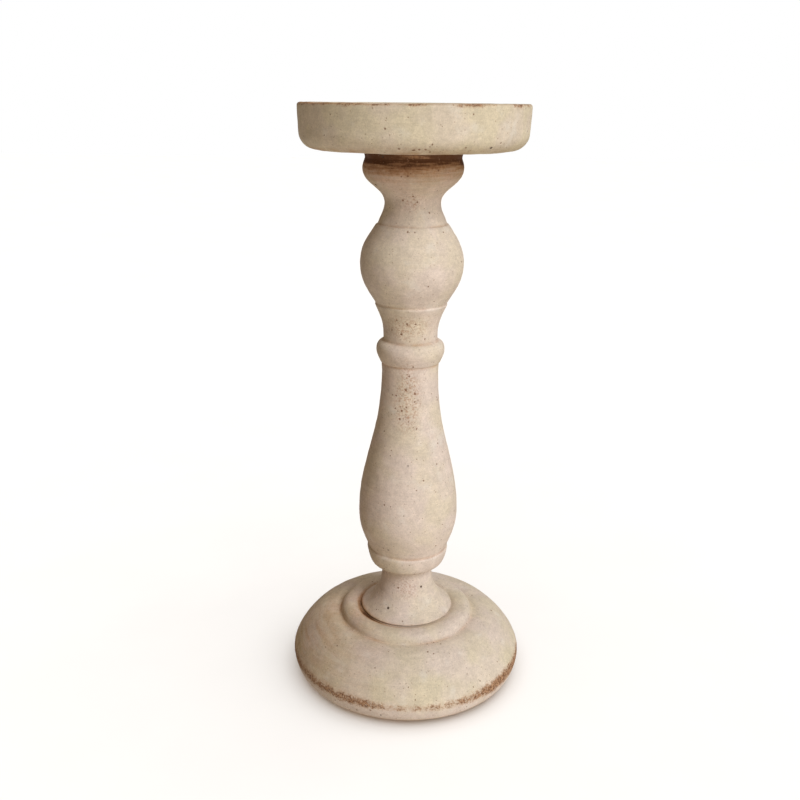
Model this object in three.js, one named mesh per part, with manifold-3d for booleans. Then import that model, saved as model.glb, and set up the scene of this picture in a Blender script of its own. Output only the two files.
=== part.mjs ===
// A turned wooden candlestick for a pillar candle, 260 mm high.
//
// Three turned pieces stand on one axis: a domed base, a baluster stem and a shallow pan. The stem
// has a round spigot at each end, which fits a socket in the base and in the pan. A wood screw holds
// each joint: one comes up through the base, with its head and washer in a counterbore, and one goes
// down through the floor of the pan, countersunk. Four felt pads are glued under the base.
//
// Units are millimetres. +Z is up, and the origin is on the axis, at the surface it stands on.

import * as THREE from "three";
import { mergeVertices } from "three/addons/utils/BufferGeometryUtils.js";
import Module from "manifold-3d";

const wasm = await Module();
wasm.setup();

// ---- driving dimensions ------------------------------------------------------------------------

// Facets round each kind of turned piece.
const FACETS_DISC = 48;
const FACETS_STEM = 32;
const FACETS_ROUND = 24; // washer and felt pads
const FACETS_SCREW = 12;

// Felt pads under the base.
const pads = {
  count: 4,
  radius: 7,
  thickness: 1.5,
  inset: 4, // from the pad's edge to the edge of the underside
};

// Base, from its underside up.
const base = {
  lineRadius: 53.9, // widest point, where the lower band meets the dome
  bandInset: 4.3, // the underside is this much smaller in radius
  bandHeight: 9.2,
  domeHeight: 16.5,
  domeLean: 1.0, // how far the dome leans in as it leaves the line
  domeReach: 5.3, // and how far it rises while it does
  crownReach: 11.0, // how far out from the ring's foot the dome begins to level off
  crownRise: 3.0,
  ringRadius: 31.2, // foot of the raised ring round the stem
  ringHeight: 4.3,
  ringEdge: 4.4, // rounding of the ring's outer edge
  ringSlope: 0.8, // how far the ring's top falls towards the stem
  seatDepth: 0.4, // the flat seat under the stem's foot is sunk this far
};

// Stem, from its foot up: each turned feature has its own height and radius.
const stem = {
  footRadius: 21.6,
  footEdge: 0.9,
  flareHeight: 18.5,
  flareNeckRadius: 11.7,
  neckHeight: 4.0,
  collarFootRadius: 16.2,
  collarHeight: 8.9,
  collarRadius: 18.6,
  balusterFootRadius: 18.3,
  balusterRise: 18.4,
  balusterRadius: 22.7,
  balusterTaper: 65.0,
  balusterNeckRadius: 12.5,
  balusterNeckHeight: 5.2,
  beadHeight: 10.0,
  beadRadius: 15.0,
  beadLip: 0.7, // how far the bead starts out from the neck below
  ballNeckRadius: 11.9,
  ballNeckHeight: 2.0,
  ballFlareHeight: 13.8,
  ballFootRadius: 15.4,
  ballLedge: 0.35, // the flare under the ball stands out this far past the crease between them
  ballHeight: 34.2,
  ballRadius: 22.2,
  ballHeadRadius: 15.5,
  ballCrease: 0.7, // the neck above the ball begins this far in
  headNeckHeight: 9.0,
  headNeckRadius: 11.9,
  ogeeHeight: 14.4,
  headRadius: 21.2,
  headGroove: 1.0, // depth of the groove under the pan
  headGrooveHeight: 3.8,
  headLipHeight: 2.6,
};

// Pan, from its underside up.
const pan = {
  height: 19.0,
  undersideRise: 0.6, // the underside climbs this much on its way out
  rimRadius: 47.7,
  wallLean: 0.5, // the wall is this much smaller in radius above the rounded corner
  cornerWidth: 7.2,
  cornerHeight: 7.0,
  rimWall: 4.6,
  rimEdge: 0.9,
  recessDepth: 8.5,
  recessCorner: 2.0,
};

// Joints between the turned pieces.
const baseJoint = { spigotRadius: 9.5, spigotLength: 12 };
const panJoint = { spigotRadius: 9.5, spigotLength: 5 };
const SPIGOT_CLEARANCE = 0.3; // all round a spigot
const FOOT_CLEARANCE = 0.6; // all round the stem's foot in its seat
const SPIGOT_RELIEF = 0.8; // left past its end

// Wood screws and the washer.
const screw = {
  radius: 2.5, // over the thread
  threadDepth: 0.75,
  threadPitch: 2.2,
  tipLength: 6,
  plainShare: 0.3, // share of the length under the head with no thread
  headRadius: 4.75,
  headEdge: 0.4, // height of the upright rim of the flat head
  recessRadius: 2.5,
  recessSlot: 1.2,
};
const panScrew = { length: 40, headHeight: 2.7, recessDepth: 2.0 };
const baseScrew = { length: 45, headHeight: 3.0, recessDepth: 2.0 };
const SCREW_CLEARANCE = 0.3; // all round a screw in its hole
const HEAD_SINK = 0.4; // a screw head sits this far below the face around it
const washer = { radius: 7.0, thickness: 1.2 };
const counterbore = { depth: 7.0 };
const COUNTERBORE_CLEARANCE = 1.0; // all round the washer

// ---- places that follow from them --------------------------------------------------------------

const baseBottom = pads.thickness;
const lineZ = baseBottom + base.bandHeight;
const ringFootZ = lineZ + base.domeHeight;
const seatZ = ringFootZ + base.ringHeight - base.ringSlope - base.seatDepth;
const undersideRadius = base.lineRadius - base.bandInset;
const counterboreZ = baseBottom + counterbore.depth;
const counterboreRadius = washer.radius + COUNTERBORE_CLEARANCE;
const screwHoleRadius = screw.radius + SCREW_CLEARANCE;

const stemHeight =
  stem.footEdge + stem.flareHeight + stem.neckHeight + stem.collarHeight +
  stem.balusterRise + stem.balusterTaper + stem.balusterNeckHeight + stem.beadHeight +
  stem.ballNeckHeight + stem.ballFlareHeight + stem.ballHeight + stem.headNeckHeight +
  stem.ogeeHeight + stem.headGrooveHeight + stem.headLipHeight;
const panBottom = seatZ + stemHeight;
const rimZ = panBottom + pan.height;
const panFloorZ = rimZ - pan.recessDepth;
const washerBottom = counterboreZ - washer.thickness;

// ---- shapes ------------------------------------------------------------------------------------

// A half section drawn from point to point in radius and height.
class Outline {
  constructor(radius, height, curvePoints = 5) {
    this.points = [new THREE.Vector2(radius, height)];
    this.curvePoints = curvePoints;
  }

  get end() {
    return this.points.at(-1);
  }

  line(radius, height) {
    this.points.push(new THREE.Vector2(radius, height));
    return this;
  }

  // A curve that leaves towards one handle and arrives from the other.
  curve(handle1, handle2, radius, height, points = this.curvePoints) {
    const to = new THREE.Vector2(radius, height);
    const bend = new THREE.CubicBezierCurve(
      this.end.clone(), new THREE.Vector2(...handle1), new THREE.Vector2(...handle2), to,
    );
    this.points.push(...bend.getPoints(points).slice(1));
    return this;
  }

  // An S that is upright at both ends; each pull is a share of its height.
  swell(radius, height, pull1, pull2, points = this.curvePoints) {
    const { x, y } = this.end;
    const rise = height - y;
    return this.curve([x, y + pull1 * rise], [radius, height - pull2 * rise], radius, height, points);
  }

  // A quarter of an ellipse that is upright where it ends.
  roundUp(radius, height, points = this.curvePoints) {
    const { x, y } = this.end;
    const K = 0.552;
    return this.curve(
      [x + K * (radius - x), y], [radius, height - K * (height - y)], radius, height, points,
    );
  }

  // A quarter of an ellipse that is upright where it starts.
  roundOver(radius, height, points = this.curvePoints) {
    const { x, y } = this.end;
    const K = 0.552;
    return this.curve(
      [x, y + K * (height - y)], [radius + K * (x - radius), height], radius, height, points,
    );
  }

  close() {
    this.points.push(this.points[0].clone());
    return this;
  }

  // The solid of revolution about +Z.
  turn(facets) {
    return new THREE.LatheGeometry(this.points, facets).rotateX(Math.PI / 2);
  }
}

// A closed geometry as a solid that can be cut, and back again.
function solidOf(geometry) {
  const bare = geometry.index ? geometry.toNonIndexed() : geometry.clone();
  bare.deleteAttribute("normal");
  bare.deleteAttribute("uv");
  const merged = mergeVertices(bare, 1e-4);
  return new wasm.Manifold(new wasm.Mesh({
    numProp: 3,
    vertProperties: merged.attributes.position.array,
    triVerts: new Uint32Array(merged.index.array),
  }));
}

function geometryOf(solid) {
  const mesh = solid.getMesh();
  const geometry = new THREE.BufferGeometry();
  geometry.setAttribute("position", new THREE.BufferAttribute(new Float32Array(mesh.vertProperties), 3));
  geometry.setIndex(new THREE.BufferAttribute(new Uint32Array(mesh.triVerts), 1));
  geometry.computeVertexNormals();
  return geometry;
}

function baseGeometry() {
  const socketRadius = baseJoint.spigotRadius + SPIGOT_CLEARANCE;
  const socketFloor = seatZ - baseJoint.spigotLength - SPIGOT_RELIEF;
  const crownZ = ringFootZ + base.ringHeight;
  const section = new Outline(screwHoleRadius, counterboreZ)
    .line(counterboreRadius, counterboreZ)
    .line(counterboreRadius, baseBottom)
    .line(undersideRadius, baseBottom)
    .curve(
      [base.lineRadius - base.bandInset / 2, baseBottom], [base.lineRadius, lineZ - base.bandHeight / 2],
      base.lineRadius, lineZ, 6,
    )
    .curve(
      [base.lineRadius - base.domeLean, lineZ + base.domeReach],
      [base.ringRadius + base.crownReach, ringFootZ + base.crownRise],
      base.ringRadius, ringFootZ, 9,
    )
    .roundOver(base.ringRadius - base.ringEdge, crownZ, 4)
    .line(stem.footRadius + FOOT_CLEARANCE, seatZ + base.seatDepth)
    .line(stem.footRadius + FOOT_CLEARANCE, seatZ)
    .line(socketRadius, seatZ)
    .line(socketRadius, socketFloor)
    .line(screwHoleRadius, socketFloor)
    .close();
  return section.turn(FACETS_DISC);
}

function stemGeometry() {
  const s = stem;
  const lowerHoleEnd = washerBottom + baseScrew.length + 2;
  const upperHoleEnd = panFloorZ - HEAD_SINK - panScrew.length - 2;
  let z = seatZ - baseJoint.spigotLength;
  const section = new Outline(0, lowerHoleEnd)
    .line(screwHoleRadius, lowerHoleEnd)
    .line(screwHoleRadius, z)
    .line(baseJoint.spigotRadius, z)
    .line(baseJoint.spigotRadius, seatZ);

  // Foot and flare.
  z = seatZ;
  section.line(s.footRadius - s.footEdge, z);
  z += s.footEdge;
  section.roundUp(s.footRadius, z, 2);
  const flareTop = z + s.flareHeight;
  section.curve(
    [s.footRadius - 3.7, z + 2.0], [s.flareNeckRadius, flareTop - 0.55 * s.flareHeight],
    s.flareNeckRadius, flareTop, 6,
  );
  z = flareTop + s.neckHeight;
  section.line(s.flareNeckRadius + 0.4, z);

  // Collar: a bowl shape, widest near its top, with a fine groove above it.
  section.line(s.collarFootRadius, z + 0.5);
  const collarTop = z + s.collarHeight;
  section.curve(
    [s.collarFootRadius + 1.0, z + 1.3], [s.collarRadius, collarTop - 0.46 * s.collarHeight],
    s.collarRadius, collarTop - 0.7, 5,
  );
  section.line(s.balusterFootRadius - 0.2, collarTop);

  // Baluster: a quick swell, then a long taper to a plain neck.
  z = collarTop + s.balusterRise;
  section.curve(
    [s.balusterFootRadius + 1.8, collarTop + 0.28 * s.balusterRise],
    [s.balusterRadius, z - 0.48 * s.balusterRise], s.balusterRadius, z, 5,
  );
  z += s.balusterTaper;
  section.swell(s.balusterNeckRadius, z, 0.33, 0.42, 10);
  z += s.balusterNeckHeight;
  section.line(s.balusterNeckRadius + 0.2, z);

  // Bead.
  const beadTop = z + s.beadHeight;
  const beadMiddle = z + 0.6 * s.beadHeight;
  section.line(s.balusterNeckRadius + s.beadLip, z + 0.15);
  section.curve(
    [s.balusterNeckRadius + 1.3, z + 1.8], [s.beadRadius, beadMiddle - 2.4],
    s.beadRadius, beadMiddle, 4,
  );
  section.curve(
    [s.beadRadius, beadMiddle + 2.5], [s.ballNeckRadius + 1.6, beadTop - 0.4],
    s.ballNeckRadius, beadTop, 4,
  );

  // Neck that flares out to the ball, and the ball.
  z = beadTop + s.ballNeckHeight;
  section.line(s.ballNeckRadius, z);
  z += s.ballFlareHeight;
  section.curve(
    [s.ballNeckRadius, z - 0.6 * s.ballFlareHeight], [s.ballFootRadius - 2.1, z - 0.38 * s.ballFlareHeight],
    s.ballFootRadius + s.ballLedge, z, 4,
  );
  section.line(s.ballFootRadius, z + 0.6);
  const ballTop = z + s.ballHeight;
  const ballMiddle = z + 0.515 * s.ballHeight;
  section.curve(
    [s.ballFootRadius + 3.0, z + 5.4], [s.ballRadius, ballMiddle - 7.6],
    s.ballRadius, ballMiddle, 6,
  );
  section.curve(
    [s.ballRadius, ballMiddle + 8.2], [s.ballHeadRadius + 3.2, ballTop - 5.2],
    s.ballHeadRadius, ballTop, 6,
  );

  // Upper neck, and the ogee that spreads to the head.
  z = ballTop + s.headNeckHeight;
  section.line(s.ballHeadRadius - s.ballCrease, ballTop + 0.15);
  section.curve(
    [s.ballHeadRadius - s.ballCrease - 0.9, ballTop + 3.0], [s.headNeckRadius, z - 3.6],
    s.headNeckRadius, z, 4,
  );
  z += s.ogeeHeight;
  section.swell(s.headRadius, z, 0.42, 0.52, 8);
  z += s.headGrooveHeight;
  section.curve(
    [s.headRadius, z - 1.6], [s.headRadius - s.headGroove, z - 1.2],
    s.headRadius - s.headGroove, z, 2,
  );
  z += s.headLipHeight;
  section.line(s.headRadius - 0.3, z);

  // Upper spigot and its hole.
  return section
    .line(panJoint.spigotRadius, z)
    .line(panJoint.spigotRadius, z + panJoint.spigotLength)
    .line(screwHoleRadius, z + panJoint.spigotLength)
    .line(screwHoleRadius, upperHoleEnd)
    .line(0, upperHoleEnd)
    .turn(FACETS_STEM);
}

function panGeometry() {
  const socketRadius = panJoint.spigotRadius + SPIGOT_CLEARANCE;
  const socketTop = panBottom + panJoint.spigotLength + SPIGOT_RELIEF;
  const recessRadius = pan.rimRadius - pan.rimWall;
  const cornerZ = panBottom + pan.undersideRise;
  const sinkRadius = screw.headRadius + SCREW_CLEARANCE;
  const sinkDepth = panScrew.headHeight + HEAD_SINK;
  const wallRadius = pan.rimRadius - pan.wallLean;
  return new Outline(screwHoleRadius, socketTop)
    .line(socketRadius, socketTop)
    .line(socketRadius, panBottom)
    .line(stem.headRadius, panBottom)
    .line(wallRadius - pan.cornerWidth, cornerZ)
    .roundUp(wallRadius, cornerZ + pan.cornerHeight, 6)
    .line(pan.rimRadius, rimZ - pan.rimEdge)
    .roundOver(pan.rimRadius - pan.rimEdge, rimZ, 2)
    .line(recessRadius + pan.rimEdge, rimZ)
    .line(recessRadius, rimZ - pan.rimEdge)
    .line(recessRadius, panFloorZ + pan.recessCorner)
    .roundOver(recessRadius - pan.recessCorner, panFloorZ, 3)
    .line(sinkRadius, panFloorZ)
    .line(sinkRadius, panFloorZ - HEAD_SINK - screw.headEdge)
    .line(screwHoleRadius, panFloorZ - sinkDepth)
    .close()
    .turn(FACETS_DISC);
}

// A cross recess for a driver, its mouth on z = 0 and its point towards -Z.
function crossRecess(depth) {
  const arm = screw.recessRadius;
  const half = screw.recessSlot / 2;
  const cross = new THREE.Shape([
    [half, half], [arm, half], [arm, -half], [half, -half], [half, -arm], [-half, -arm],
    [-half, -half], [-arm, -half], [-arm, half], [-half, half], [-half, arm], [half, arm],
  ].map(([x, y]) => new THREE.Vector2(x, y)));
  const mouth = 0.5;
  const prism = new THREE.ExtrudeGeometry(cross, { depth: depth + mouth, bevelEnabled: false })
    .translate(0, 0, -depth);
  const cone = new Outline(0, -depth)
    .line(half, -depth)
    .line(arm + half, mouth)
    .line(0, mouth)
    .turn(FACETS_SCREW);
  return solidOf(prism).intersect(solidOf(cone));
}

// A wood screw that points towards -Z, its head's top face at z = 0. The head outline runs from the
// plain shank, at the given depth below the top, to the axis.
function screwGeometry(length, headDepth, drawHead, recessDepth) {
  const root = screw.radius - screw.threadDepth;
  const tip = -length;
  const threadTop = -headDepth - screw.plainShare * (length - headDepth);
  const rowsPerTurn = 4;
  const rows = Math.round(((threadTop - tip) / screw.threadPitch) * rowsPerTurn);
  const section = new Outline(0, tip);
  for (let i = 1; i <= rows; i += 1) {
    const z = tip + ((threadTop - tip) * i) / rows;
    section.line(root * Math.min(1, (z - tip) / screw.tipLength), z);
  }
  drawHead(section.line(root + 0.5, threadTop + 0.5).line(root + 0.5, -headDepth));
  const geometry = section.turn(FACETS_SCREW);

  // The thread is a ridge that climbs one pitch in each turn, and fades out at both ends.
  const position = geometry.attributes.position;
  for (let i = 0; i < position.count; i += 1) {
    const x = position.getX(i);
    const y = position.getY(i);
    const z = position.getZ(i);
    const radius = Math.hypot(x, y);
    const inThread = z < threadTop - 1e-3 && radius > 1e-3;
    if (!inThread) continue;
    const phase = (z - tip) / screw.threadPitch - Math.atan2(y, x) / (2 * Math.PI);
    const fromCrest = Math.abs(phase - Math.round(phase)) * 2;
    const fade = Math.min(1, (z - tip) / screw.tipLength, (threadTop - z) / screw.threadPitch);
    const grow = 1 + (screw.threadDepth * Math.max(0, 1 - 1.6 * fromCrest) * fade) / radius;
    position.setXY(i, x * grow, y * grow);
  }
  return geometryOf(solidOf(geometry).subtract(crossRecess(recessDepth)));
}

function panScrewGeometry() {
  const flatHead = (section) => section
    .line(screw.headRadius, -screw.headEdge)
    .line(screw.headRadius - 0.15, 0)
    .line(0, 0);
  return screwGeometry(panScrew.length, panScrew.headHeight, flatHead, panScrew.recessDepth);
}

function baseScrewGeometry() {
  const roundHead = (section) => section
    .line(screw.headRadius, -baseScrew.headHeight)
    .line(screw.headRadius, -baseScrew.headHeight + 1.0)
    .roundOver(screw.headRadius - 2.0, 0, 4)
    .line(0, 0);
  const length = baseScrew.length + baseScrew.headHeight;
  return screwGeometry(length, baseScrew.headHeight, roundHead, baseScrew.recessDepth);
}

function washerGeometry() {
  const hole = screw.radius + SCREW_CLEARANCE;
  const corner = 0.2;
  return new Outline(hole, 0)
    .line(washer.radius - corner, 0)
    .line(washer.radius, corner)
    .line(washer.radius, washer.thickness)
    .line(hole, washer.thickness)
    .close()
    .turn(FACETS_ROUND);
}

function padGeometry() {
  const corner = 0.3;
  return new Outline(0, 0)
    .line(pads.radius - corner, 0)
    .line(pads.radius, corner)
    .line(pads.radius, pads.thickness)
    .line(0, pads.thickness)
    .turn(FACETS_ROUND);
}

// ---- materials and assembly --------------------------------------------------------------------

const limewashedWood = new THREE.MeshStandardMaterial({ color: 0xd8c7ae, roughness: 0.85, metalness: 0 });
const zincSteel = new THREE.MeshStandardMaterial({ color: 0xb9b6ac, roughness: 0.35, metalness: 1 });
const feltGrey = new THREE.MeshStandardMaterial({ color: 0x6b5f52, roughness: 1, metalness: 0 });

function piece(name, geometry, material) {
  const mesh = new THREE.Mesh(geometry, material);
  mesh.name = name;
  return mesh;
}

const candlestick = new THREE.Group();
candlestick.add(
  piece("base", baseGeometry(), limewashedWood),
  piece("stem", stemGeometry(), limewashedWood),
  piece("pan", panGeometry(), limewashedWood),
);

const panScrewMesh = piece("pan_screw", panScrewGeometry(), zincSteel);
panScrewMesh.position.z = panFloorZ - HEAD_SINK;
candlestick.add(panScrewMesh);

// The base's screw points up, with its head below the washer.
const baseScrewMesh = piece("base_screw", baseScrewGeometry(), zincSteel);
baseScrewMesh.rotation.x = Math.PI;
baseScrewMesh.position.z = washerBottom - baseScrew.headHeight;
candlestick.add(baseScrewMesh);

const washerMesh = piece("base_washer", washerGeometry(), zincSteel);
washerMesh.position.z = washerBottom;
candlestick.add(washerMesh);

for (let i = 0; i < pads.count; i += 1) {
  const pad = piece(`felt_pad_${i + 1}`, padGeometry(), feltGrey);
  const angle = ((i + 0.5) * 2 * Math.PI) / pads.count;
  const reach = undersideRadius - pads.inset - pads.radius;
  pad.position.set(reach * Math.cos(angle), reach * Math.sin(angle), 0);
  candlestick.add(pad);
}

export default candlestick;
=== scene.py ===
"""A limewashed wooden candlestick for a pillar candle: base, stem and pan turned from wood, held together
by two wood screws, on four felt pads.

The turned pieces are made from the half sections of the CAD nodes: the section is rounded, softened the
way paint softens an edge, and turned in fine steps. Wear, dirt mixed with painted shade, and specks are
stored on the vertices as attributes, which the wood material reads. Sizes below are in millimetres unless a
name says otherwise.
"""

import math

import bmesh
import bpy
import numpy as np
from mathutils import Matrix, Vector, noise


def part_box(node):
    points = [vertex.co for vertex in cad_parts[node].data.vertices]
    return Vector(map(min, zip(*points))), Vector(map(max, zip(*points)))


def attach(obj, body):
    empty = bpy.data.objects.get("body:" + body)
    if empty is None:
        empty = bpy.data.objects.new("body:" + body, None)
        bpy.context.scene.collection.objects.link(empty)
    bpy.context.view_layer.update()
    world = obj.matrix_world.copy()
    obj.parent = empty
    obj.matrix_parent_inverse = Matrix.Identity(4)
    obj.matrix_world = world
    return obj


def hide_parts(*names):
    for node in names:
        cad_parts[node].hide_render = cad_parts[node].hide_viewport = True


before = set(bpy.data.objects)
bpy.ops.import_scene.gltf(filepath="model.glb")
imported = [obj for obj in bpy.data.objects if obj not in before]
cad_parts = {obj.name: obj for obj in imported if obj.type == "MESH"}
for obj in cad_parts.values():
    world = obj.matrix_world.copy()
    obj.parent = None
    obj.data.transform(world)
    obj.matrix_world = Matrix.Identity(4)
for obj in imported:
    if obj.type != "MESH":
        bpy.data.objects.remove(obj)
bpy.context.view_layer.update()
MM = 0.001
SAME_RING = 0.03  # vertices whose radius and height differ by less are one ring
SECTION_STEP = 0.2  # spacing of the points of a fine section
FINE_BEND = 0.35  # how far the curvature is blurred for sharp creases and edges
WIDE_BEND = 1.4  # and for broad hollows

# ---- sections of the CAD nodes ------------------------------------------------------------------


def node_points(node):
    """A CAD node's vertices in millimetres, and its edges."""
    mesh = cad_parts[node].data
    points = np.empty(len(mesh.vertices) * 3)
    mesh.vertices.foreach_get("co", points)
    edges = np.empty(len(mesh.edges) * 2, dtype=int)
    mesh.edges.foreach_get("vertices", edges)
    return points.reshape(-1, 3) / MM, edges.reshape(-1, 2)


def centre_of(node):
    """The middle of a node in plan, in millimetres."""
    low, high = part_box(node)
    return np.array([(low.x + high.x) / 2, (low.y + high.y) / 2]) / MM


def section(node):
    """The half section of a turned node as ordered (radius, height) points, and whether it closes.

    Every edge of a turned mesh runs round a ring or joins two neighbouring rings, so the edges between
    rings give the order of the section.
    """
    points, edges = node_points(node)
    radius = np.hypot(*(points[:, :2] - centre_of(node)).T)
    flat = np.column_stack([radius, points[:, 2]])
    ring_of = np.full(len(flat), -1)
    places = []
    for i, point in enumerate(flat):
        if ring_of[i] < 0:
            ring_of[np.hypot(*(flat - point).T) < SAME_RING] = len(places)
            places.append(point)
    places = np.array(places)
    near = {i: set() for i in range(len(places))}
    for a, b in ring_of[edges]:
        if a != b:
            near[a].add(b)
            near[b].add(a)
    ends = [i for i in near if len(near[i]) == 1]
    start = ends[0] if ends else int(places[:, 0].argmax())
    order = [start]
    while True:
        onward = [i for i in near[order[-1]] if i not in order]
        if not onward:
            break
        order.append(onward[0])
    line = places[order]
    if signed_area(line) < 0:
        line = line[::-1]
    return line, not ends


def signed_area(line):
    """The area that the polyline encloses, positive when it runs counter-clockwise."""
    x, y = line.T
    return 0.5 * np.sum(x * np.roll(y, -1) - np.roll(x, -1) * y)


def rounded(line, closed, straight=6.0, corner=40):
    """The section as a fine polyline, with smooth curves through its points.

    A turn of more than `corner` degrees stays a corner, and a length over `straight` stays straight.
    """
    count = len(line)
    ahead = np.roll(line, -1, axis=0) - line
    length = np.hypot(*ahead.T)
    along = ahead / np.maximum(length, 1e-9)[:, None]
    before = np.roll(along, 1, axis=0)
    turn = np.degrees(np.abs(np.arctan2(
        before[:, 0] * along[:, 1] - before[:, 1] * along[:, 0], np.sum(before * along, axis=1))))
    if not closed:
        turn[[0, -1]] = 180
    weight_in = 1 / np.maximum(np.roll(length, 1), 1e-9)
    weight_out = 1 / np.maximum(length, 1e-9)
    tangent = before * weight_in[:, None] + along * weight_out[:, None]
    tangent /= np.maximum(np.hypot(*tangent.T), 1e-9)[:, None]
    fine = []
    for i in range(count if closed else count - 1):
        j = (i + 1) % count
        leave, arrive = tangent[i], tangent[j]
        if turn[i] > corner or np.roll(length, 1)[i] > straight:
            leave = along[i]
        if turn[j] > corner or length[j] > straight:
            arrive = along[i] if turn[j] > corner else along[j]
        if length[i] > straight:
            leave = arrive = along[i]
        steps = max(1, int(math.ceil(length[i] / SECTION_STEP)))
        t = (np.arange(steps) / steps)[:, None]
        fine.append(
            (2 * t**3 - 3 * t**2 + 1) * line[i] + (t**3 - 2 * t**2 + t) * leave * length[i]
            + (3 * t**2 - 2 * t**3) * line[j] + (t**3 - t**2) * arrive * length[i])
    if not closed:
        fine.append(line[-1:])
    return np.vstack(fine)


def spread(values, sigma, closed):
    """A Gaussian blur along the section."""
    reach = max(1, int(round(3 * sigma / SECTION_STEP)))
    kernel = np.exp(-0.5 * (np.arange(-reach, reach + 1) * SECTION_STEP / sigma) ** 2)
    kernel /= kernel.sum()
    mode = "wrap" if closed else "edge"
    padded = np.pad(values, [(reach, reach)] + [(0, 0)] * (values.ndim - 1), mode=mode)
    if values.ndim == 1:
        return np.convolve(padded, kernel, "valid")
    return np.column_stack([np.convolve(padded[:, k], kernel, "valid") for k in range(values.shape[1])])


def bend_of(line, closed):
    """Signed curvature along a polyline, per millimetre: positive where the solid is convex."""
    ahead = np.roll(line, -1, axis=0) - line
    back = line - np.roll(line, 1, axis=0)
    turn = np.arctan2(back[:, 0] * ahead[:, 1] - back[:, 1] * ahead[:, 0], np.sum(back * ahead, axis=1))
    bend = turn / np.maximum(0.5 * (np.hypot(*ahead.T) + np.hypot(*back.T)), 1e-6)
    if not closed:
        bend[[0, -1]] = 0
    return bend


def thinned(line, far, hidden_radius, hidden=3.0, turn=0.07):
    """Indices of the points to keep: close together on bends, up to `far` apart where nearly straight.

    Nearer the axis than `hidden_radius`, inside the joints, they may be `hidden` apart.
    """
    keep = [0]
    gone = 0.0
    turned_by = 0.0
    for i in range(1, len(line) - 1):
        gone += math.dist(line[i], line[i - 1])
        a, b = line[i] - line[i - 1], line[i + 1] - line[i]
        turned_by += abs(math.atan2(a[0] * b[1] - a[1] * b[0], a @ b))
        limit = hidden if line[i][0] < hidden_radius else far
        if gone > limit or turned_by > turn:
            keep.append(i)
            gone = turned_by = 0.0
    keep.append(len(line) - 1)
    return np.array(keep)


# ---- turned pieces --------------------------------------------------------------------------------


class Turned:
    """A turned piece as a grid of points: a row for each point of its section, a column each way round."""

    def __init__(self, node, columns, soften=0.25, far=0.8, hidden_radius=0.0):
        line, self.closed = section(node)
        line = rounded(line, self.closed)
        soft = spread(line, soften, self.closed)
        if not self.closed:
            soft[[0, -1]] = line[[0, -1]]
        bend = bend_of(soft, self.closed)
        fine_bend = spread(bend, FINE_BEND, self.closed)
        wide_bend = spread(bend, WIDE_BEND, self.closed)
        keep = thinned(soft, far, hidden_radius)
        self.node = node
        self.line = soft[keep]
        self.fine_bend = fine_bend[keep]
        self.wide_bend = wide_bend[keep]
        ahead = np.gradient(self.line, axis=0)
        ahead /= np.maximum(np.hypot(*ahead.T), 1e-9)[:, None]
        self.normal = np.column_stack([ahead[:, 1], -ahead[:, 0]])
        self.angle = np.arange(columns) * 2 * math.pi / columns
        self.radius = np.repeat(self.line[:, :1], columns, axis=1)
        self.height = np.repeat(self.line[:, 1:], columns, axis=1)
        self.masks = {}

    @property
    def shape(self):
        return self.radius.shape

    def sample(self, function):
        """A function of position in millimetres, at every point of the unmoved piece."""
        cos, sin = np.cos(self.angle), np.sin(self.angle)
        values = np.empty(self.shape)
        for i, (r, z) in enumerate(self.line):
            for j in range(len(self.angle)):
                values[i, j] = function(Vector((r * cos[j], r * sin[j], z)))
        return values

    def lumps(self, size, seed, octaves=3):
        """Fractal noise with features of the given size."""
        offset = Vector((seed * 17.3, seed * 5.1, seed * 9.7))
        return self.sample(lambda p: noise.fractal(p / size + offset, 1.0, 2.0, octaves))

    def push(self, amount):
        """Moves every point out along the section's normal."""
        self.radius = self.radius + amount * self.normal[:, :1]
        self.height = self.height + amount * self.normal[:, 1:]

    def build(self, name):
        """The piece as an object of its own, kept inside its CAD node's box."""
        rows, columns = self.shape
        centre = centre_of(self.node)
        low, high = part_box(self.node)
        widest = (high.x - low.x) / 2 / MM
        self.radius = np.minimum(self.radius, widest)
        self.height = np.clip(self.height, low.z / MM, high.z / MM)
        cos, sin = np.cos(self.angle), np.sin(self.angle)
        x = self.radius * cos + centre[0]
        y = self.radius * sin + centre[1]
        points = np.stack([x, y, self.height], axis=-1).reshape(-1, 3)
        on_axis = self.line[:, 0] < 1e-3
        first = np.arange(rows) * columns
        faces = []
        for i in range(rows if self.closed else rows - 1):
            k = (i + 1) % rows
            for j in range(columns):
                n = (j + 1) % columns
                corners = [
                    first[i] + (0 if on_axis[i] else j), first[i] + (0 if on_axis[i] else n),
                    first[k] + (0 if on_axis[k] else n), first[k] + (0 if on_axis[k] else j)]
                corners = list(dict.fromkeys(int(c) for c in corners))
                if len(corners) > 2:
                    faces.append(corners)
        mesh = bpy.data.meshes.new(name)
        mesh.from_pydata(points * MM, [], faces)
        for mask, values in self.masks.items():
            attribute = mesh.attributes.new(mask, "FLOAT", "POINT")
            attribute.data.foreach_set("value", np.clip(values, 0, 1).ravel().astype(np.float32))
        finish_mesh(mesh)
        return new_object(name, mesh)


def finish_mesh(mesh):
    """Drops loose points, turns the faces outward and shades them smooth."""
    work = bmesh.new()
    work.from_mesh(mesh)
    bmesh.ops.delete(work, geom=[v for v in work.verts if not v.link_faces], context="VERTS")
    bmesh.ops.recalc_face_normals(work, faces=work.faces)
    work.to_mesh(mesh)
    work.free()
    mesh.polygons.foreach_set("use_smooth", np.ones(len(mesh.polygons), dtype=bool))
    mesh.update()


def new_object(name, mesh):
    """A new object in the scene, with that mesh."""
    obj = bpy.data.objects.new(name, mesh)
    bpy.context.scene.collection.objects.link(obj)
    return obj


def bell(values, centre, width):
    """1 at the centre, falling off smoothly either way."""
    return np.exp(-(((values - centre) / width) ** 2))


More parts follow.
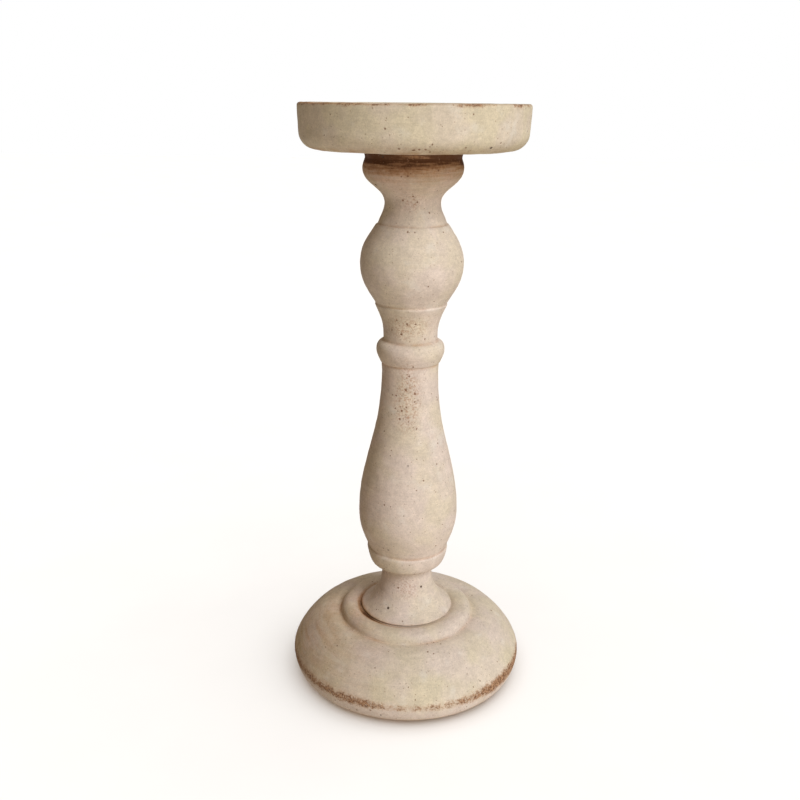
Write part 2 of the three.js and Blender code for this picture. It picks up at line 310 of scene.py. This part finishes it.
def front_angle(degrees_right):
    """The angle round +Z of a direction that many degrees to the right of the front, which is -Y."""
    return math.radians(degrees_right - 90)


def round_bell(angle, degrees_right, width_degrees):
    """A bell round the axis, centred that many degrees to the right of the front."""
    away = (angle - front_angle(degrees_right) + math.pi) % (2 * math.pi) - math.pi
    return np.exp(-((np.degrees(away) / width_degrees) ** 2))


# ---- materials ------------------------------------------------------------------------------------

CREAM = (0.630, 0.545, 0.388)
PINK = (0.658, 0.550, 0.462)
# The brown film and the darkest brown below colour both dirt and painted shade.
DIRT_FILM_AND_PAINTED_SHADE = (0.66, 0.435, 0.27)  # multiplies the wash
DARK_DIRT_AND_PAINTED_SHADE = (0.100, 0.037, 0.011)
RED_GRIT = (0.36, 0.175, 0.095)
CHALK = (0.73, 0.685, 0.60)
PALE_SPECK = (0.78, 0.70, 0.56)
FINE_SPECK = (0.27, 0.16, 0.09)
MEDIUM_SPECK = (0.20, 0.105, 0.055)
SPOT = (0.21, 0.10, 0.05)
PIT = (0.085, 0.05, 0.03)
THIN_WASH = (0.50, 0.30, 0.17)
DARK_WOOD = (0.135, 0.058, 0.024)
PALE_WOOD = (0.46, 0.27, 0.15)
STEEL = ((0.50, 0.49, 0.46), (0.66, 0.65, 0.61))
FELT = ((0.085, 0.062, 0.043), (0.21, 0.165, 0.12))
FLOOR = ((0.865, 0.865, 0.860), (0.880, 0.880, 0.875))


class Shader:
    """A node material, with short calls for the nodes used here."""

    def __init__(self, name):
        self.material = bpy.data.materials.new(name)
        self.material.use_nodes = True
        self.tree = self.material.node_tree
        self.tree.nodes.clear()
        self.surface = self.add("ShaderNodeBsdfPrincipled")
        output = self.add("ShaderNodeOutputMaterial")
        self.link(self.surface.outputs["BSDF"], output.inputs["Surface"])
        coordinates = self.add("ShaderNodeTexCoord")
        scale = self.add("ShaderNodeVectorMath", operation="SCALE")
        self.link(coordinates.outputs["Object"], scale.inputs[0])
        scale.inputs["Scale"].default_value = 1 / MM
        self.place = scale.outputs["Vector"]

    def add(self, kind, **settings):
        made = self.tree.nodes.new(kind)
        for key, value in settings.items():
            setattr(made, key, value)
        return made

    def link(self, source, target):
        if hasattr(source, "is_output"):
            self.tree.links.new(source, target)
        else:
            target.default_value = source

    def stretched(self, x, y, z):
        """The position in millimetres, scaled differently each way."""
        made = self.add("ShaderNodeVectorMath", operation="MULTIPLY")
        self.link(self.place, made.inputs[0])
        made.inputs[1].default_value = (x, y, z)
        return made.outputs["Vector"]

    def noise(self, size, detail=3.0, roughness=0.55, place=None, seed=0.0, distortion=0.0):
        """Noise from 0 to 1, with features of that size in millimetres."""
        made = self.add("ShaderNodeTexNoise", noise_dimensions="4D")
        self.link(place or self.place, made.inputs["Vector"])
        made.inputs["Scale"].default_value = 1 / size
        made.inputs["Detail"].default_value = detail
        made.inputs["Roughness"].default_value = roughness
        made.inputs["Distortion"].default_value = distortion
        made.inputs["W"].default_value = seed
        return made.outputs["Fac"]

    def attribute(self, name):
        return self.add("ShaderNodeAttribute", attribute_name=name).outputs["Fac"]

    def math(self, operation, a, b=None, clamp=False):
        made = self.add("ShaderNodeMath", operation=operation, use_clamp=clamp)
        self.link(a, made.inputs[0])
        if b is not None:
            self.link(b, made.inputs[1])
        return made.outputs[0]

    def ramp(self, value, low, high, to_low=0.0, to_high=1.0, smooth=True):
        """The value mapped from low..high to to_low..to_high, clamped."""
        made = self.add("ShaderNodeMapRange", interpolation_type="SMOOTHSTEP" if smooth else "LINEAR")
        self.link(value, made.inputs["Value"])
        for key, number in zip(("From Min", "From Max", "To Min", "To Max"), (low, high, to_low, to_high)):
            self.link(number, made.inputs[key])
        return made.outputs["Result"]

    def mix(self, factor, a, b, blend="MIX"):
        made = self.add("ShaderNodeMix", data_type="RGBA", blend_type=blend)
        self.link(factor, made.inputs[0])
        for value, socket in ((a, made.inputs[6]), (b, made.inputs[7])):
            self.link(value if hasattr(value, "is_output") else (*value, 1.0), socket)
        return made.outputs[2]

    def specks(self, size, share, radius, seed=0.0, share_extra=None):
        """Round specks from 0 to 1: one cell of the given size in `share` holds one, of about that radius."""
        shifted = self.add("ShaderNodeVectorMath", operation="ADD")
        self.link(self.place, shifted.inputs[0])
        shifted.inputs[1].default_value = (seed, seed * 1.7, seed * 2.3)
        cells = self.add("ShaderNodeTexVoronoi", feature="F1", voronoi_dimensions="3D")
        self.link(shifted.outputs["Vector"], cells.inputs["Vector"])
        cells.inputs["Scale"].default_value = 1 / size
        picks = self.add("ShaderNodeSeparateColor")
        self.link(cells.outputs["Color"], picks.inputs["Color"])
        limit = share if share_extra is None else self.math("ADD", share_extra, share)
        chosen = self.math("LESS_THAN", picks.outputs["Red"], limit)
        edge = self.ramp(picks.outputs["Green"], 0, 1, 0.45 * radius / size, radius / size, smooth=False)
        ragged = self.math("MULTIPLY_ADD", self.noise(0.35, 2, 0.6, seed=seed), 0.25 * radius / size)
        ragged.node.inputs[2].default_value = -0.12 * radius / size
        distance = self.math("ADD", cells.outputs["Distance"], ragged)
        inside = self.math("DIVIDE", distance, edge)
        dot = self.ramp(inside, 0.55, 1.0, 1.0, 0.0)
        return self.math("MULTIPLY", dot, chosen)

    def total(self, *values):
        result = values[0]
        for value in values[1:]:
            result = self.math("ADD", result, value)
        return result

    def bump(self, height, strength=1.0):
        """Relief from a height in millimetres."""
        made = self.add("ShaderNodeBump")
        made.inputs["Strength"].default_value = strength
        made.inputs["Distance"].default_value = MM
        self.link(height, made.inputs["Height"])
        self.link(made.outputs["Normal"], self.surface.inputs["Normal"])


def limewashed_wood():
    """Chalky limewash over turned wood: cream and pinkish areas, specks, pits, dirt with painted shade, and
    worn edges.
    """
    s = Shader("limewashed_wood")
    tint = s.attribute("tint")
    wear = s.attribute("wear")
    # The stain attribute holds dirt together with painted shade.
    stain_and_painted_shade = s.attribute("stain_and_painted_shade")
    speckle = s.attribute("speckle")

    # Tone: broad clouds between the two washes, then finer mottling and fine grain.
    clouds = s.ramp(s.noise(16, 3, 0.5, seed=1.0), 0.35, 0.65, -0.35, 0.35)
    wash = s.math("ADD", tint, clouds, clamp=True)
    colour = s.mix(wash, CREAM, PINK)
    blotch = s.ramp(s.noise(5.5, 4, 0.6, seed=2.0), 0.3, 0.7, 0.93, 1.05)
    mottle = s.ramp(s.noise(1.7, 3, 0.65, seed=3.0), 0.3, 0.7, 0.94, 1.05)
    grain = s.ramp(s.noise(0.55, 3, 0.7, seed=4.0), 0.3, 0.7, 0.89, 1.09)
    tone = s.math("MULTIPLY", s.math("MULTIPLY", blotch, mottle), grain)
    streaks = s.noise(1.0, 3, 0.6, place=s.stretched(0.12, 0.12, 1.6), seed=5.0)
    tone = s.math("MULTIPLY", tone, s.ramp(streaks, 0.3, 0.7, 0.965, 1.03))
    combined = s.add("ShaderNodeCombineColor")
    for channel in ("Red", "Green", "Blue"):
        s.link(tone, combined.inputs[channel])
    colour = s.mix(1.0, colour, combined.outputs["Color"], "MULTIPLY")

    # A brown film of dirt and painted shade, in rough bands round the piece.
    bands = s.noise(1.0, 3, 0.6, place=s.stretched(0.06, 0.06, 0.7), seed=5.5)
    dirt_and_shade_edge = s.math("MULTIPLY", s.ramp(s.noise(1.1, 4, 0.7, seed=6.0), 0.3, 0.7, 0.85, 1.12),
                       s.ramp(bands, 0.3, 0.7, 0.62, 1.35))
    dirt_and_painted_shade = s.math("MULTIPLY", stain_and_painted_shade, dirt_and_shade_edge, clamp=True)
    brown_film_and_painted_shade = s.ramp(dirt_and_painted_shade, 0.0, 0.55, smooth=False)
    colour = s.mix(brown_film_and_painted_shade, colour, s.mix(1.0, colour, DIRT_FILM_AND_PAINTED_SHADE, "MULTIPLY"))

    # Reddish grit where the grain shows through, the darkest dirt and painted shadow over it, and patches of
    # paler wash.
    grit = s.ramp(s.noise(1.0, 4, 0.8, seed=14.0), 0.47, 0.60)
    grit = s.math("MULTIPLY", grit, s.ramp(speckle, 0.15, 0.80, 0.0, 0.64), clamp=True)
    colour = s.mix(grit, colour, RED_GRIT)
    colour = s.mix(s.ramp(dirt_and_painted_shade, 0.38, 0.95), colour, DARK_DIRT_AND_PAINTED_SHADE)
    chalk = s.ramp(s.noise(8.0, 4, 0.6, seed=15.0), 0.54, 0.72, 0.0, 0.38)
    colour = s.mix(s.math("MULTIPLY", chalk, s.ramp(dirt_and_painted_shade, 0.0, 0.4, 1.0, 0.0)), colour, CHALK)

    # Specks: fine and medium brown ones, spots and deep pits in the speckled areas, and pale ones.
    fine = s.specks(1.3, 0.30, 0.34, seed=11.0, share_extra=s.math("MULTIPLY", speckle, 0.6))
    medium = s.specks(2.9, 0.16, 0.56, seed=23.0, share_extra=s.math("MULTIPLY", speckle, 0.85))
    pits = s.specks(7.0, 0.0, 0.85, seed=37.0, share_extra=s.math("MULTIPLY", speckle, 1.7))
    spots = s.specks(1.9, -0.25, 0.75, seed=71.0, share_extra=speckle)
    pale = s.specks(2.6, 0.12, 0.40, seed=53.0)
    colour = s.mix(s.math("MULTIPLY", pale, 0.35), colour, PALE_SPECK)
    colour = s.mix(s.math("MULTIPLY", fine, 0.62), colour, FINE_SPECK)
    colour = s.mix(s.math("MULTIPLY", medium, 0.80), colour, MEDIUM_SPECK)
    colour = s.mix(s.math("MULTIPLY", spots, 0.82), colour, SPOT)
    colour = s.mix(s.math("MULTIPLY", pits, 0.92), colour, PIT)

    # Edges where the wash has rubbed through to brown wood.
    ragged = s.total(
        s.ramp(s.noise(3.4, 4, 0.7, seed=7.0), 0.25, 0.75, -0.45, 0.45, smooth=False),
        s.ramp(s.noise(0.9, 4, 0.8, seed=8.0), 0.25, 0.75, -0.75, 0.75, smooth=False))
    rub = s.math("ADD", s.math("MULTIPLY", wear, 1.6), ragged)
    bare = s.ramp(rub, 0.62, 1.25)
    thin = s.ramp(rub, 0.15, 0.95)
    wood = s.mix(s.ramp(s.noise(1.0, 4, 0.75, seed=9.0), 0.38, 0.62), DARK_WOOD, PALE_WOOD)
    colour = s.mix(s.math("MULTIPLY", thin, s.ramp(wear, 0.05, 0.4, 0.0, 0.45)), colour, THIN_WASH)
    bare = s.math("MULTIPLY", bare, s.ramp(wear, 0.1, 0.35))
    colour = s.mix(bare, colour, wood)
    s.link(colour, s.surface.inputs["Base Color"])

    rough = s.ramp(s.noise(2.2, 3, 0.6, seed=10.0), 0.3, 0.7, 0.74, 0.92)
    s.link(rough, s.surface.inputs["Roughness"])
    s.surface.inputs["Specular IOR Level"].default_value = 0.3

    height = s.total(
        s.math("MULTIPLY", s.noise(0.5, 3, 0.65, seed=4.5), 0.055),
        s.math("MULTIPLY", s.noise(2.4, 3, 0.55, seed=12.0), 0.11),
        s.math("MULTIPLY", streaks, 0.035),
        s.math("MULTIPLY", pale, 0.06),
        s.math("MULTIPLY", fine, -0.05),
        s.math("MULTIPLY", medium, -0.12),
        s.math("MULTIPLY", spots, -0.15),
        s.math("MULTIPLY", pits, -0.35),
        s.math("MULTIPLY", bare, -0.10))
    s.bump(height)
    return s.material


def zinc_steel():
    """Dull zinc plating with a faint cloud."""
    s = Shader("zinc_steel")
    cloud = s.noise(1.6, 4, 0.6, seed=1.0)
    s.link(s.mix(cloud, *STEEL), s.surface.inputs["Base Color"])
    s.surface.inputs["Metallic"].default_value = 1.0
    s.link(s.ramp(s.noise(0.5, 3, 0.6, seed=2.0), 0.3, 0.7, 0.28, 0.48), s.surface.inputs["Roughness"])
    s.bump(s.math("MULTIPLY", s.noise(0.25, 3, 0.6, seed=3.0), 0.012))
    return s.material


def felt():
    """Pressed brown wool felt."""
    s = Shader("felt")
    fibres = s.noise(0.35, 5, 0.75, place=s.stretched(1, 1, 2.5), seed=1.0, distortion=1.2)
    patch = s.noise(2.5, 3, 0.6, seed=2.0)
    both = s.math("ADD", s.math("MULTIPLY", fibres, 0.7), s.math("MULTIPLY", patch, 0.3))
    s.link(s.mix(s.ramp(both, 0.3, 0.7), *FELT), s.surface.inputs["Base Color"])
    s.surface.inputs["Roughness"].default_value = 1.0
    s.surface.inputs["Specular IOR Level"].default_value = 0.1
    s.surface.inputs["Sheen Weight"].default_value = 0.4
    s.surface.inputs["Sheen Roughness"].default_value = 0.6
    s.bump(s.math("MULTIPLY", fibres, 0.25))
    return s.material


def floor_material():
    """A plain pale matte surface."""
    s = Shader("pale_floor")
    tone = s.ramp(s.noise(60, 3, 0.5), 0.3, 0.7, 0.0, 1.0)
    s.link(s.mix(tone, *FLOOR), s.surface.inputs["Base Color"])
    s.surface.inputs["Roughness"].default_value = 0.9
    s.surface.inputs["Specular IOR Level"].default_value = 0.1
    return s.material


# ---- the turned wood --------------------------------------------------------------------------------

# Heights that the dirt, the painted shade and the specks follow, in millimetres above the surface it stands
# on.
LOWER_BAND = 5.0  # middle of the base's lower band
DOME_FOOT = 15
FOOT_LINE = 30.6  # where the stem stands in its seat
FLARE = 45
BALUSTER_TOP = 138
BALL_NECK = 169
OGEE_NECK = 222
PAN_UNDERSIDE = 241.0
PAN_CORNER = 243.5
PAN_FLOOR_LIMIT = 246  # below this only the underside and the outer corner of the pan
SPIGOT = 5.0  # how far the stem's top reaches into the pan
SEAT_RADIUS = 22.3  # edge of the stem's seat in the base
RIM_RADIUS = 47.6
INSET = 0.08  # the painted surfaces lie this far in, which leaves room for their waviness

# Directions of the marks, in degrees to the right of the front. SHADED_SIDE is the side away from the key
# light, where shade is painted.
SHADED_SIDE = -75


def creases(piece):
    """Darker colour in the concave bends of the section."""
    sharp = np.clip((-piece.fine_bend - 0.12) / 0.7, 0, 1)
    wide = np.clip((-piece.wide_bend - 0.10) / 0.5, 0, 1)
    patchy = np.clip(0.55 + 0.9 * piece.lumps(11, 21), 0.15, 1.0)
    return np.maximum(0.42 * sharp, 0.30 * wide)[:, None] * patchy


def make_stem():
    """The stem: darker brown under the pan, partly painted shadow of the pan, painted shade on its shaded
    side, and speckled at the front of its necks.
    """
    piece = Turned("stem", columns=176, soften=0.3, far=0.7, hidden_radius=10.0)
    z = piece.height
    turned_lines = 0.035 * piece.sample(lambda p: noise.noise(Vector((p.x / 60, p.y / 60, p.z / 1.1))))
    piece.push(0.14 * piece.lumps(14, 1) + 0.06 * piece.lumps(3.2, 2) + turned_lines - INSET)
    joint = piece.line[:, 1].max() - SPIGOT
    # Painted shadow in the groove under the pan, strongest at the front; the second term is a dark chip at
    # the right.
    groove = bell(z, joint, 4.2) * (0.64 + 0.40 * round_bell(piece.angle, -6, 34))
    groove += 0.8 * bell(z, joint - 2.8, 1.5) * round_bell(piece.angle, 80, 10)
    # A brown film fading out over 20 mm below the pan, partly painted shadow of the pan.
    depth = np.clip((joint - z) / 20, 0, 1)
    under_pan = 0.52 * (1 - depth**2 * (3 - 2 * depth))
    # Painted shade on the side away from the key light, below the ball and along the foot line.
    side = round_bell(piece.angle, SHADED_SIDE, 50)
    shaded = 0.12 * side * np.clip((180 - z) / 30, 0, 1)
    foot = bell(z, FOOT_LINE, 0.9) * (0.06 + 0.7 * side)
    piece.masks["stain_and_painted_shade"] = creases(piece) * 0.7 + groove + under_pan + foot + shaded
    edges = np.clip((piece.fine_bend[:, None] - 0.25) / 0.8, 0, 1)
    piece.masks["wear"] = 0.25 * edges * np.ones(piece.shape)
    front = round_bell(piece.angle, -2, 30)
    cluster = 1.15 * bell(z, BALUSTER_TOP, 15) * round_bell(piece.angle, -5, 24)
    neck = bell(z, BALL_NECK, 6) * (0.35 + 0.6 * round_bell(piece.angle, -12, 34))
    shoulder = 0.75 * bell(z, joint - 3, 5) * round_bell(piece.angle, -4, 30)
    above_ball = bell(z, OGEE_NECK, 5) * front * 0.55
    flare = bell(z, FLARE, 6) * front
    piece.masks["speckle"] = 0.12 + 0.85 * cluster + 0.7 * neck + 0.6 * flare + above_ball + shoulder
    piece.masks["tint"] = np.full(piece.shape, 0.72)
    return piece.build("turned_stem")


def make_base():
    """The base: worn through along its widest line, most of all at the front right."""
    piece = Turned("base", columns=288, soften=0.8, hidden_radius=9.0)
    z = piece.height
    r = piece.radius
    piece.push(0.15 * piece.lumps(18, 3) + 0.06 * piece.lumps(4, 4) - INSET)
    line_row = int(np.argmax(piece.line[:, 0]))
    line_r, line_z = piece.line[line_row]
    away = np.hypot(r - line_r, z - line_z)
    rubbed = (
        0.38 + 0.72 * round_bell(piece.angle, 64, 36) + 0.38 * round_bell(piece.angle, -28, 18)
        + 0.40 * round_bell(piece.angle, -70, 26) + 0.35 * round_bell(piece.angle, 170, 50))
    piece.masks["wear"] = np.exp(-((away / (1.7 + 1.5 * rubbed)) ** 2)) * np.clip(rubbed, 0, 1)
    # Painted shade in the stem's seat, most on the shaded side, and over the whole shaded side above the
    # lower band; the last term below darkens the bottom edge.
    seat = bell(r, SEAT_RADIUS, 1.0) * (z > 25) * (0.10 + 0.8 * round_bell(piece.angle, SHADED_SIDE, 60))
    shaded = 0.26 * round_bell(piece.angle, SHADED_SIDE, 50) * (z > 9)
    piece.masks["stain_and_painted_shade"] = creases(piece) * 0.45 + seat + shaded + 0.30 * bell(z, 1.5, 1.4)
    band = bell(z, LOWER_BAND + 0.5, 3.5)
    piece.masks["speckle"] = 0.06 + 0.40 * band * (0.4 + 0.6 * round_bell(piece.angle, -35, 45))
    tint = 0.55 + 0.5 * bell(z, LOWER_BAND, 4) - 0.35 * bell(z, DOME_FOOT, 6)
    piece.masks["tint"] = np.clip(tint, 0, 1)
    return piece.build("turned_base")


def make_pan():
    """The pan: chipped and worn at its rim, darker in patches underneath, partly painted shade, and with a
    rim line mostly of painted shade on its shaded side.
    """
    piece = Turned("pan", columns=288, soften=0.5, hidden_radius=9.5)
    z = piece.height
    rim = piece.line[:, 1].max()
    piece.push(0.15 * piece.lumps(16, 5) + 0.06 * piece.lumps(3.5, 6) - INSET)
    chips = piece.lumps(9, 7, octaves=4)
    near_rim = np.clip((z - (rim - 1.6)) / 1.6, 0, 1) ** 2
    outer = np.clip((piece.radius - 44) / 3, 0, 1)
    piece.height = piece.height - near_rim * outer * np.clip(0.12 + 0.35 * chips, 0, 0.4)
    patches = piece.lumps(8, 8, octaves=4)
    left = round_bell(piece.angle, -70, 60)
    edge = bell(z, rim - 0.5, 1.3) * np.clip(0.24 + 0.7 * patches + 0.20 * left, 0.05, 0.6)
    piece.masks["wear"] = edge * bell(piece.radius, RIM_RADIUS - 0.2, 2.2) + 0.1 * bell(z, rim, 1.0)
    # Darker under the pan, partly painted shade: darkest near the stem, in patches further out, more on the
    # shaded left side.
    inner = np.clip((34 - piece.radius) / 12, 0, 1) * (z < PAN_FLOOR_LIMIT)
    patches_under = np.clip(0.22 + 0.5 * piece.lumps(5, 9, octaves=4) + 0.16 * left, 0.05, 0.55)
    under = bell(z, PAN_UNDERSIDE, 1.8) * patches_under * np.clip((piece.radius - 24) / 12, 0.35, 1)
    # A brown line at the rim, mostly painted shade on the shaded left side.
    lip = bell(z, rim, 0.8) * bell(piece.radius, RIM_RADIUS, 1.6) * (0.14 + 0.60 * left)
    piece.masks["stain_and_painted_shade"] = creases(piece) * 0.6 + under + lip + 0.7 * inner
    corner = bell(z, PAN_CORNER, 2) * (0.2 + 0.8 * round_bell(piece.angle, 5, 35))
    piece.masks["speckle"] = 0.015 + 0.50 * corner
    piece.masks["tint"] = np.full(piece.shape, 0.12)
    return piece.build("turned_pan")


def make_round_hardware(node, name, columns, soften):
    """A washer or a felt disc, with its edges slightly rounded."""
    return Turned(node, columns, soften=soften, far=0.5).build(name)


# ---- screws -----------------------------------------------------------------------------------------


def make_screw(node, name, head_up, flat_head):
    """A wood screw that fills its CAD node's box: a cross-recess head, a shank and a climbing thread."""
    low, high = (np.array(corner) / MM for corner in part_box(node))
    length = high[2] - low[2]
    head_radius = (high[0] - low[0]) / 2
    pitch, root, crest, tip = 2.2, 1.75, 2.5, 6.0
    head = 2.7 if flat_head else 3.0
    plain = 0.3 * (length - head)
    columns = 40
    outline = [(0.0, 0.0)]
    if flat_head:
        outline += [(head_radius - 0.35, 0.0), (head_radius - 0.1, -0.08), (head_radius, -0.25)]
        outline += [(head_radius, -0.42), (head_radius - 0.5, -0.9), (root + 0.9, -2.3), (root + 0.5, -head)]
    else:
        for a in np.linspace(0.1, math.pi / 2, 9):
            outline.append((head_radius * math.sin(a), -2.0 * (1 - math.cos(a))))
        outline += [(head_radius, -head + 0.15), (head_radius - 0.15, -head), (root + 0.5, -head)]
    outline += [(root + 0.5, -head - plain), (root, -head - plain - 0.6)]
    rows = int((length - head - plain - 0.6) / pitch * 12)
    start = outline[-1][1]
    outline += [(root, start + (-length - start) * (i + 1) / rows) for i in range(rows)]
    points = []
    for radius, depth in outline:
        for j in range(columns):
            angle = 2 * math.pi * j / columns
            r = radius
            if depth < start:
                taper = min(1.0, (depth + length) / tip)
                phase = (depth / pitch - j / columns) % 1.0
                ridge = max(0.0, 1 - abs(phase - 0.5) * 3.2)
                fade = min(1.0, (start - depth) / pitch)
                r = (root + (crest - root) * ridge * fade) * taper
            points.append((r * math.cos(angle), r * math.sin(angle), depth))
    work = bmesh.new()
    verts = [work.verts.new(Vector(p) * MM) for p in points]
    for i in range(len(outline) - 1):
        for j in range(columns):
            a, b = i * columns + j, i * columns + (j + 1) % columns
            work.faces.new((verts[a], verts[b], verts[b + columns], verts[a + columns]))
    bmesh.ops.remove_doubles(work, verts=work.verts, dist=1e-6)
    bmesh.ops.recalc_face_normals(work, faces=work.faces)
    mesh = bpy.data.meshes.new(name)
    work.to_mesh(mesh)
    work.free()
    obj = new_object(name, mesh)
    cut_cross(obj, depth=2.0, arm=2.4, slot=1.1)
    middle = (low + high) / 2
    place = Matrix.Translation(Vector((middle[0], middle[1], high[2] if head_up else low[2])) * MM)
    if not head_up:
        place = place @ Matrix.Rotation(math.pi, 4, "X")
    obj.data.transform(place)
    shade_by_angle(obj.data, 35)
    return obj


def cut_cross(obj, depth, arm, slot):
    """Cuts a tapering cross recess into the top of a screw head, and clears slivers from the cut."""
    work = bmesh.new()
    for turn in (0, math.pi / 2):
        box = bmesh.ops.create_cube(work, size=1.0)["verts"]
        for v in box:
            wide = 1.0 if v.co.z > 0 else 0.35
            v.co = Vector((v.co.x * 2 * arm * wide, v.co.y * slot * (0.75 + 0.25 * wide),
                           0.3 if v.co.z > 0 else -depth)) * MM
        bmesh.ops.rotate(work, verts=box, matrix=Matrix.Rotation(turn, 3, "Z"))
    mesh = bpy.data.meshes.new("cross_cutter")
    work.to_mesh(mesh)
    work.free()
    cutter = new_object("cross_cutter", mesh)
    modifier = obj.modifiers.new("recess", "BOOLEAN")
    modifier.operation = "DIFFERENCE"
    modifier.solver = "EXACT"
    modifier.use_self = True
    modifier.object = cutter
    depsgraph = bpy.context.evaluated_depsgraph_get()
    cut = bpy.data.meshes.new_from_object(obj.evaluated_get(depsgraph))
    work = bmesh.new()
    work.from_mesh(cut)
    bmesh.ops.remove_doubles(work, verts=work.verts, dist=0.005 * MM)
    bmesh.ops.dissolve_degenerate(work, edges=work.edges, dist=0.001 * MM)
    work.to_mesh(cut)
    work.free()
    obj.modifiers.clear()
    old = obj.data
    obj.data = cut
    bpy.data.meshes.remove(old)
    bpy.data.objects.remove(cutter)
    bpy.data.meshes.remove(mesh)


def shade_by_angle(mesh, degrees):
    """Smooth shading, except across edges sharper than that."""
    mesh.polygons.foreach_set("use_smooth", np.ones(len(mesh.polygons), dtype=bool))
    mesh.set_sharp_from_angle(angle=math.radians(degrees))


# ---- assembly ---------------------------------------------------------------------------------------


def place(piece, node, slot, material):
    """Puts a finished piece in its CAD node's place, on the one rigid body."""
    piece.data.materials.clear()
    piece.data.materials.append(material)
    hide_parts(node)
    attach(piece, "root")
    lit.objects.link(piece)


lit = bpy.data.collections.new("lit_by_key")
wood = limewashed_wood()
steel = zinc_steel()
brown_felt = felt()

place(make_base(), "base", "limewashed_wood", wood)
place(make_stem(), "stem", "limewashed_wood", wood)
place(make_pan(), "pan", "limewashed_wood", wood)
place(make_screw("pan_screw", "flat_head_screw", True, True), "pan_screw", "zinc_steel", steel)
place(make_screw("base_screw", "round_head_screw", False, False), "base_screw", "zinc_steel", steel)
place(make_round_hardware("base_washer", "steel_washer", 64, 0.08), "base_washer", "zinc_steel", steel)
for i in range(1, 5):
    pad = f"felt_pad_{i}"
    place(make_round_hardware(pad, f"felt_disc_{i}", 64, 0.15), pad, "felt", brown_felt)

# ---- floor, light and camera --------------------------------------------------------------------------


def make_floor():
    """A large square at the height the object stands on. It shows shadows but throws no light back."""
    half = 4.0
    mesh = bpy.data.meshes.new("floor")
    corners = [(-half, -half, 0), (half, -half, 0), (half, half, 0), (-half, half, 0)]
    mesh.from_pydata(corners, [], [(0, 1, 2, 3)])
    floor = new_object("floor", mesh)
    mesh.materials.append(floor_material())
    floor.visible_diffuse = False
    floor.visible_shadow = False
    return floor


def make_sun(name, strength, azimuth, elevation, softness, colour, receivers):
    """A soft distant light from that many degrees right of the front, on those objects only."""
    data = bpy.data.lights.new(name, "SUN")
    data.energy = strength
    data.angle = math.radians(softness)
    data.color = colour
    light = bpy.data.objects.new(name, data)
    bpy.context.scene.collection.objects.link(light)
    a, e = front_angle(azimuth), math.radians(elevation)
    towards = Vector((math.cos(a) * math.cos(e), math.sin(a) * math.cos(e), math.sin(e)))
    light.rotation_euler = towards.to_track_quat("Z", "Y").to_euler()
    light.light_linking.receiver_collection = receivers
    return light


def make_world(ambient):
    """An even pale surround: white where it is seen, dimmer as a light."""
    world = bpy.data.worlds.new("surround")
    world.use_nodes = True
    tree = world.node_tree
    tree.nodes.clear()
    fill = tree.nodes.new("ShaderNodeBackground")
    fill.inputs["Color"].default_value = (*ambient, 1)
    seen = tree.nodes.new("ShaderNodeBackground")
    seen.inputs["Color"].default_value = (1, 1, 1, 1)
    path = tree.nodes.new("ShaderNodeLightPath")
    mix = tree.nodes.new("ShaderNodeMixShader")
    output = tree.nodes.new("ShaderNodeOutputWorld")
    tree.links.new(path.outputs["Is Camera Ray"], mix.inputs["Fac"])
    tree.links.new(fill.outputs[0], mix.inputs[1])
    tree.links.new(seen.outputs[0], mix.inputs[2])
    tree.links.new(mix.outputs[0], output.inputs["Surface"])
    bpy.context.scene.world = world


def make_camera():
    """Just above the rim and near, so that the base is seen from well above and the rim edge on."""
    distance, height, offset = 0.388, 0.261, -0.0066
    data = bpy.data.cameras.new("camera")
    data.sensor_width = 36
    data.lens = 41.07
    data.shift_x = 0.0063
    data.shift_y = -0.0175
    camera = bpy.data.objects.new("camera", data)
    bpy.context.scene.collection.objects.link(camera)
    tilt = Matrix.Rotation(math.radians(90 - 17.40), 4, "X")
    roll = Matrix.Rotation(math.radians(0.63), 4, "Z")
    camera.matrix_world = Matrix.Translation((offset, -distance, height)) @ tilt @ roll
    bpy.context.scene.camera = camera


floor = make_floor()
floor_only = bpy.data.collections.new("floor_only")
floor_only.objects.link(floor)
make_sun("key", 2.38, 40, 39.5, 28, (0.98, 1.02, 1.10), lit)
make_sun("bounce", 1.32, 25, -34, 70, (1.0, 0.95, 0.88), lit)
make_sun("back", 0.6, 150, 38, 60, (0.98, 1.0, 1.04), lit)
make_sun("floor_light", 3.15, 60, 78, 100, (0.99, 1.0, 1.015), floor_only)
make_world((0.272, 0.225, 0.178))
bpy.context.scene.view_settings.view_transform = "Standard"
make_camera()
